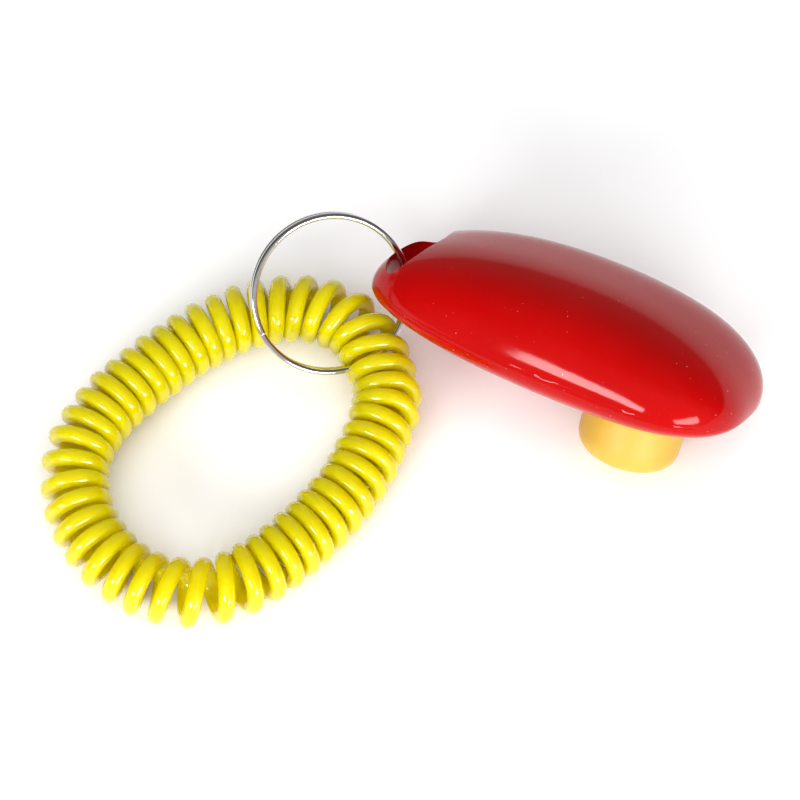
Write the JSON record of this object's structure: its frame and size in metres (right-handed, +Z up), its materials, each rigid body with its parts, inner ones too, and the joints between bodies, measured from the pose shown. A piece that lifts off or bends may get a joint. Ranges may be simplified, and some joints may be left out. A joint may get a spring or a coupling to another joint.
{
  "type": "dog training clicker",
  "caption": "Handheld push-button clicker in an egg-shaped plastic casing, with a split ring and a coiled-cord wrist band",
  "frame": {"origin": "on the surface the clicker lies on, under the middle of the box around the casing, button and split ring", "axes": "+X runs from the wrist band to the casing's wide end, +Z up from the surface the clicker lies on, +Y away from the button's side"},
  "size_m": [0.1092, 0.064, 0.0294],
  "materials": {
    "casing": "glossy",
    "button": "satin",
    "spring_steel": "brushed",
    "clamp": "matte",
    "screws": "satin",
    "ring": "polished",
    "cord": "translucent glossy",
    "cord_sleeve": "glossy"
  },
  "bodies": {
    "casing": {"back_cover": "casing", "front_shell": "casing", "click_plate": "spring_steel", "plate_clamp": "clamp", "clamp_screws": "screws"},
    "button": {"button": "button"},
    "ring": {"split_ring": "ring"},
    "band": {"wrist_coil": "cord", "coil_joint": "cord_sleeve"}
  },
  "joints": [
    {"name": "button_press", "type": "slide", "parent": "casing", "child": "button", "axis": [0.2372, 0.6396, 0.7312], "range_m": [0, 0.002], "stiffness_N_per_m": 900, "deforming": ["click_plate"]},
    {"name": "ring_swing", "type": "hinge", "parent": "casing", "child": "ring", "pos_m": [-0.01891, 0.01255, 0.01211], "axis": [0.3903, 0.6264, -0.6747], "range_deg": [-6, 60]},
    {"name": "band_swing", "type": "hinge", "parent": "ring", "child": "band", "pos_m": [-0.01933, 0.00145, 0.00657], "axis": [0.7539, 0.6142, 0.2332], "range_deg": [-70, 10]}
  ]
}
